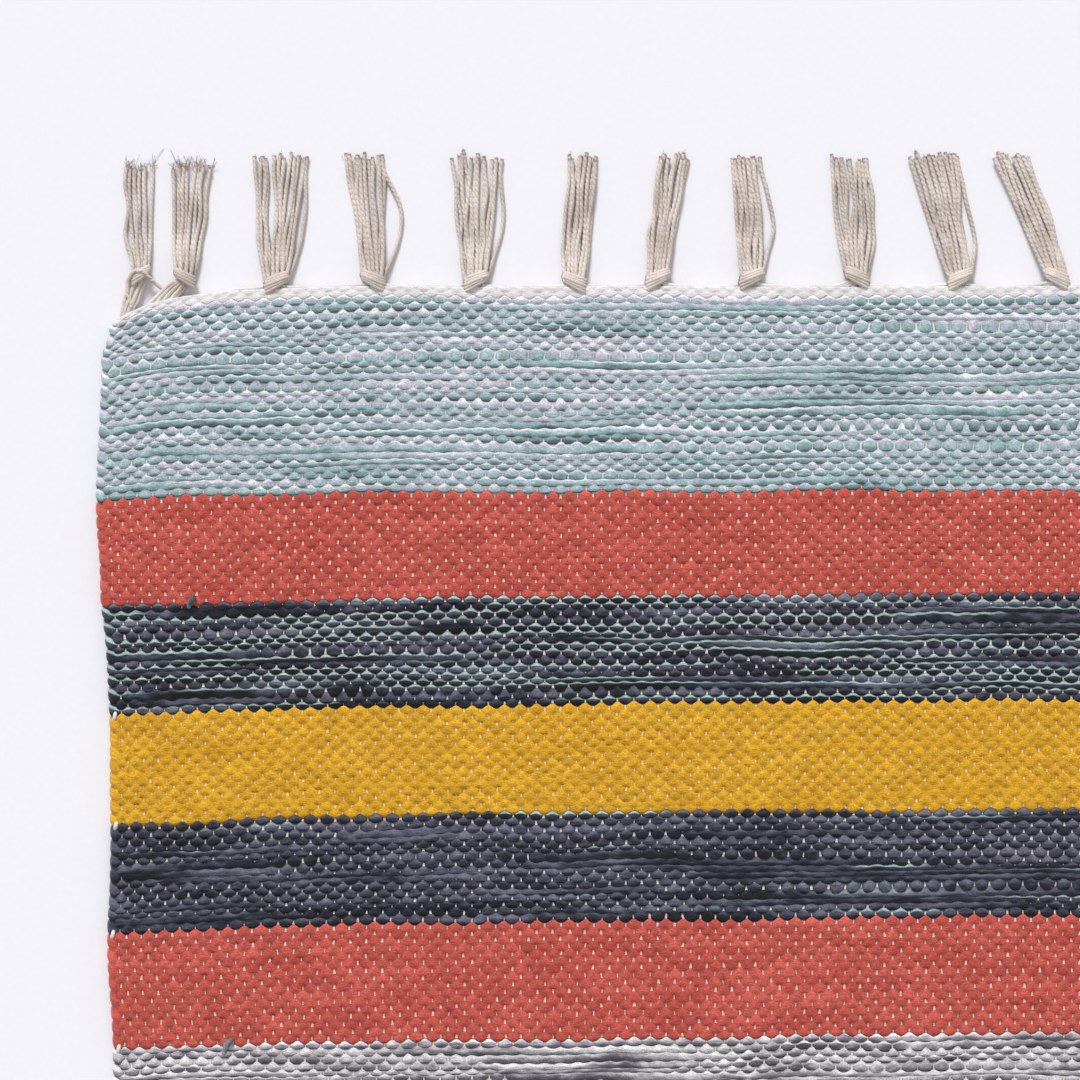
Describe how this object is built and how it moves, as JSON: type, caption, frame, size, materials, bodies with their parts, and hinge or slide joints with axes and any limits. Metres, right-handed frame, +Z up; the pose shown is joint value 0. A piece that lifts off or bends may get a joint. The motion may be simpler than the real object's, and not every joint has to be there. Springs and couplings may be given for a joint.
{
  "type": "runner rug",
  "caption": "Flat-woven cotton runner rug, cross stripes in coral, navy, mustard, sky and grey, knotted tassel fringe at both ends; folds in half, and each tassel folds back.",
  "frame": {"origin": "under the middle of the rug, on the floor that it lies on", "axes": "+X across the rug along its stripes, +Y along the rug towards its front fringe, +Z up"},
  "size_m": [0.66, 1.8294, 0.0062],
  "materials": {
    "cream_warp": "matt spun cotton",
    "cream_weft": "matt spun cotton",
    "sky_melange_weft": "matt spun cotton, mint, teal and lavender-grey melange",
    "grey_melange_weft": "matt spun cotton, white and grey melange",
    "coral_weft": "matt spun cotton",
    "navy_melange_weft": "matt spun cotton, near-black, slate and pale fleck melange",
    "mustard_weft": "matt spun cotton",
    "ecru_fringe": "matt two-ply spun cotton"
  },
  "bodies": {
    "front_half": {"warp_front": "cream_warp", "weft_header_front": "cream_weft", "weft_sky_front": "sky_melange_weft", "weft_grey_front": "grey_melange_weft", "weft_coral_front": "coral_weft", "weft_navy_front": "navy_melange_weft", "weft_mustard_front": "mustard_weft"},
    "back_half": {"warp_back": "cream_warp", "weft_header_back": "cream_weft", "weft_sky_back": "sky_melange_weft", "weft_grey_back": "grey_melange_weft", "weft_coral_back": "coral_weft", "weft_navy_back": "navy_melange_weft", "weft_mustard_back": "mustard_weft"},
    "tassel_front_01": {"tassel_front_01": "ecru_fringe"},
    "tassel_front_02": {"tassel_front_02": "ecru_fringe"},
    "tassel_front_03": {"tassel_front_03": "ecru_fringe"},
    "tassel_front_04": {"tassel_front_04": "ecru_fringe"},
    "tassel_front_05": {"tassel_front_05": "ecru_fringe"},
    "tassel_front_06": {"tassel_front_06": "ecru_fringe"},
    "tassel_front_07": {"tassel_front_07": "ecru_fringe"},
    "tassel_front_08": {"tassel_front_08": "ecru_fringe"},
    "tassel_front_09": {"tassel_front_09": "ecru_fringe"},
    "tassel_front_10": {"tassel_front_10": "ecru_fringe"},
    "tassel_front_11": {"tassel_front_11": "ecru_fringe"},
    "tassel_front_12": {"tassel_front_12": "ecru_fringe"},
    "tassel_front_13": {"tassel_front_13": "ecru_fringe"},
    "tassel_front_14": {"tassel_front_14": "ecru_fringe"},
    "tassel_front_15": {"tassel_front_15": "ecru_fringe"},
    "tassel_front_16": {"tassel_front_16": "ecru_fringe"},
    "tassel_front_17": {"tassel_front_17": "ecru_fringe"},
    "tassel_front_18": {"tassel_front_18": "ecru_fringe"},
    "tassel_front_19": {"tassel_front_19": "ecru_fringe"},
    "tassel_front_20": {"tassel_front_20": "ecru_fringe"},
    "tassel_back_01": {"tassel_back_01": "ecru_fringe"},
    "tassel_back_02": {"tassel_back_02": "ecru_fringe"},
    "tassel_back_03": {"tassel_back_03": "ecru_fringe"},
    "tassel_back_04": {"tassel_back_04": "ecru_fringe"},
    "tassel_back_05": {"tassel_back_05": "ecru_fringe"},
    "tassel_back_06": {"tassel_back_06": "ecru_fringe"},
    "tassel_back_07": {"tassel_back_07": "ecru_fringe"},
    "tassel_back_08": {"tassel_back_08": "ecru_fringe"},
    "tassel_back_09": {"tassel_back_09": "ecru_fringe"},
    "tassel_back_10": {"tassel_back_10": "ecru_fringe"},
    "tassel_back_11": {"tassel_back_11": "ecru_fringe"},
    "tassel_back_12": {"tassel_back_12": "ecru_fringe"},
    "tassel_back_13": {"tassel_back_13": "ecru_fringe"},
    "tassel_back_14": {"tassel_back_14": "ecru_fringe"},
    "tassel_back_15": {"tassel_back_15": "ecru_fringe"},
    "tassel_back_16": {"tassel_back_16": "ecru_fringe"},
    "tassel_back_17": {"tassel_back_17": "ecru_fringe"},
    "tassel_back_18": {"tassel_back_18": "ecru_fringe"},
    "tassel_back_19": {"tassel_back_19": "ecru_fringe"},
    "tassel_back_20": {"tassel_back_20": "ecru_fringe"}
  },
  "joints": [
    {"name": "fold_in_half", "type": "hinge", "parent": "front_half", "child": "back_half", "pos_m": [0, 0, 0.0068], "axis": [-1, 0, 0], "range_deg": [0, 176]},
    {"name": "tassel_front_01_flop", "type": "hinge", "parent": "front_half", "child": "tassel_front_01", "pos_m": [-0.321, 0.86715, 0.0065], "axis": [1, 0, 0], "range_deg": [0, 170]},
    {"name": "tassel_front_02_flop", "type": "hinge", "parent": "front_half", "child": "tassel_front_02", "pos_m": [-0.3, 0.86715, 0.0065], "axis": [1, 0, 0], "range_deg": [0, 170]},
    {"name": "tassel_front_03_flop", "type": "hinge", "parent": "front_half", "child": "tassel_front_03", "pos_m": [-0.27, 0.86715, 0.0065], "axis": [1, 0, 0], "range_deg": [0, 170]},
    {"name": "tassel_front_04_flop", "type": "hinge", "parent": "front_half", "child": "tassel_front_04", "pos_m": [-0.234, 0.86715, 0.0065], "axis": [1, 0, 0], "range_deg": [0, 170]},
    {"name": "tassel_front_05_flop", "type": "hinge", "parent": "front_half", "child": "tassel_front_05", "pos_m": [-0.198, 0.86715, 0.0065], "axis": [1, 0, 0], "range_deg": [0, 170]},
    {"name": "tassel_front_06_flop", "type": "hinge", "parent": "front_half", "child": "tassel_front_06", "pos_m": [-0.162, 0.86715, 0.0065], "axis": [1, 0, 0], "range_deg": [0, 170]},
    {"name": "tassel_front_07_flop", "type": "hinge", "parent": "front_half", "child": "tassel_front_07", "pos_m": [-0.126, 0.86715, 0.0065], "axis": [1, 0, 0], "range_deg": [0, 170]},
    {"name": "tassel_front_08_flop", "type": "hinge", "parent": "front_half", "child": "tassel_front_08", "pos_m": [-0.09, 0.86715, 0.0065], "axis": [1, 0, 0], "range_deg": [0, 170]},
    {"name": "tassel_front_09_flop", "type": "hinge", "parent": "front_half", "child": "tassel_front_09", "pos_m": [-0.054, 0.86715, 0.0065], "axis": [1, 0, 0], "range_deg": [0, 170]},
    {"name": "tassel_front_10_flop", "type": "hinge", "parent": "front_half", "child": "tassel_front_10", "pos_m": [-0.018, 0.86715, 0.0065], "axis": [1, 0, 0], "range_deg": [0, 170]},
    {"name": "tassel_front_11_flop", "type": "hinge", "parent": "front_half", "child": "tassel_front_11", "pos_m": [0.018, 0.86715, 0.0065], "axis": [1, 0, 0], "range_deg": [0, 170]},
    {"name": "tassel_front_12_flop", "type": "hinge", "parent": "front_half", "child": "tassel_front_12", "pos_m": [0.054, 0.86715, 0.0065], "axis": [1, 0, 0], "range_deg": [0, 170]},
    {"name": "tassel_front_13_flop", "type": "hinge", "parent": "front_half", "child": "tassel_front_13", "pos_m": [0.09, 0.86715, 0.0065], "axis": [1, 0, 0], "range_deg": [0, 170]},
    {"name": "tassel_front_14_flop", "type": "hinge", "parent": "front_half", "child": "tassel_front_14", "pos_m": [0.126, 0.86715, 0.0065], "axis": [1, 0, 0], "range_deg": [0, 170]},
    {"name": "tassel_front_15_flop", "type": "hinge", "parent": "front_half", "child": "tassel_front_15", "pos_m": [0.162, 0.86715, 0.0065], "axis": [1, 0, 0], "range_deg": [0, 170]},
    {"name": "tassel_front_16_flop", "type": "hinge", "parent": "front_half", "child": "tassel_front_16", "pos_m": [0.198, 0.86715, 0.0065], "axis": [1, 0, 0], "range_deg": [0, 170]},
    {"name": "tassel_front_17_flop", "type": "hinge", "parent": "front_half", "child": "tassel_front_17", "pos_m": [0.234, 0.86715, 0.0065], "axis": [1, 0, 0], "range_deg": [0, 170]},
    {"name": "tassel_front_18_flop", "type": "hinge", "parent": "front_half", "child": "tassel_front_18", "pos_m": [0.27, 0.86715, 0.0065], "axis": [1, 0, 0], "range_deg": [0, 170]},
    {"name": "tassel_front_19_flop", "type": "hinge", "parent": "front_half", "child": "tassel_front_19", "pos_m": [0.3, 0.86715, 0.0065], "axis": [1, 0, 0], "range_deg": [0, 170]},
    {"name": "tassel_front_20_flop", "type": "hinge", "parent": "front_half", "child": "tassel_front_20", "pos_m": [0.321, 0.86715, 0.0065], "axis": [1, 0, 0], "range_deg": [0, 170]},
    {"name": "tassel_back_01_flop", "type": "hinge", "parent": "back_half", "child": "tassel_back_01", "pos_m": [-0.321, -0.86715, 0.0065], "axis": [-1, 0, 0], "range_deg": [0, 170]},
    {"name": "tassel_back_02_flop", "type": "hinge", "parent": "back_half", "child": "tassel_back_02", "pos_m": [-0.3, -0.86715, 0.0065], "axis": [-1, 0, 0], "range_deg": [0, 170]},
    {"name": "tassel_back_03_flop", "type": "hinge", "parent": "back_half", "child": "tassel_back_03", "pos_m": [-0.27, -0.86715, 0.0065], "axis": [-1, 0, 0], "range_deg": [0, 170]},
    {"name": "tassel_back_04_flop", "type": "hinge", "parent": "back_half", "child": "tassel_back_04", "pos_m": [-0.234, -0.86715, 0.0065], "axis": [-1, 0, 0], "range_deg": [0, 170]},
    {"name": "tassel_back_05_flop", "type": "hinge", "parent": "back_half", "child": "tassel_back_05", "pos_m": [-0.198, -0.86715, 0.0065], "axis": [-1, 0, 0], "range_deg": [0, 170]},
    {"name": "tassel_back_06_flop", "type": "hinge", "parent": "back_half", "child": "tassel_back_06", "pos_m": [-0.162, -0.86715, 0.0065], "axis": [-1, 0, 0], "range_deg": [0, 170]},
    {"name": "tassel_back_07_flop", "type": "hinge", "parent": "back_half", "child": "tassel_back_07", "pos_m": [-0.126, -0.86715, 0.0065], "axis": [-1, 0, 0], "range_deg": [0, 170]},
    {"name": "tassel_back_08_flop", "type": "hinge", "parent": "back_half", "child": "tassel_back_08", "pos_m": [-0.09, -0.86715, 0.0065], "axis": [-1, 0, 0], "range_deg": [0, 170]},
    {"name": "tassel_back_09_flop", "type": "hinge", "parent": "back_half", "child": "tassel_back_09", "pos_m": [-0.054, -0.86715, 0.0065], "axis": [-1, 0, 0], "range_deg": [0, 170]},
    {"name": "tassel_back_10_flop", "type": "hinge", "parent": "back_half", "child": "tassel_back_10", "pos_m": [-0.018, -0.86715, 0.0065], "axis": [-1, 0, 0], "range_deg": [0, 170]},
    {"name": "tassel_back_11_flop", "type": "hinge", "parent": "back_half", "child": "tassel_back_11", "pos_m": [0.018, -0.86715, 0.0065], "axis": [-1, 0, 0], "range_deg": [0, 170]},
    {"name": "tassel_back_12_flop", "type": "hinge", "parent": "back_half", "child": "tassel_back_12", "pos_m": [0.054, -0.86715, 0.0065], "axis": [-1, 0, 0], "range_deg": [0, 170]},
    {"name": "tassel_back_13_flop", "type": "hinge", "parent": "back_half", "child": "tassel_back_13", "pos_m": [0.09, -0.86715, 0.0065], "axis": [-1, 0, 0], "range_deg": [0, 170]},
    {"name": "tassel_back_14_flop", "type": "hinge", "parent": "back_half", "child": "tassel_back_14", "pos_m": [0.126, -0.86715, 0.0065], "axis": [-1, 0, 0], "range_deg": [0, 170]},
    {"name": "tassel_back_15_flop", "type": "hinge", "parent": "back_half", "child": "tassel_back_15", "pos_m": [0.162, -0.86715, 0.0065], "axis": [-1, 0, 0], "range_deg": [0, 170]},
    {"name": "tassel_back_16_flop", "type": "hinge", "parent": "back_half", "child": "tassel_back_16", "pos_m": [0.198, -0.86715, 0.0065], "axis": [-1, 0, 0], "range_deg": [0, 170]},
    {"name": "tassel_back_17_flop", "type": "hinge", "parent": "back_half", "child": "tassel_back_17", "pos_m": [0.234, -0.86715, 0.0065], "axis": [-1, 0, 0], "range_deg": [0, 170]},
    {"name": "tassel_back_18_flop", "type": "hinge", "parent": "back_half", "child": "tassel_back_18", "pos_m": [0.27, -0.86715, 0.0065], "axis": [-1, 0, 0], "range_deg": [0, 170]},
    {"name": "tassel_back_19_flop", "type": "hinge", "parent": "back_half", "child": "tassel_back_19", "pos_m": [0.3, -0.86715, 0.0065], "axis": [-1, 0, 0], "range_deg": [0, 170]},
    {"name": "tassel_back_20_flop", "type": "hinge", "parent": "back_half", "child": "tassel_back_20", "pos_m": [0.321, -0.86715, 0.0065], "axis": [-1, 0, 0], "range_deg": [0, 170]}
  ]
}
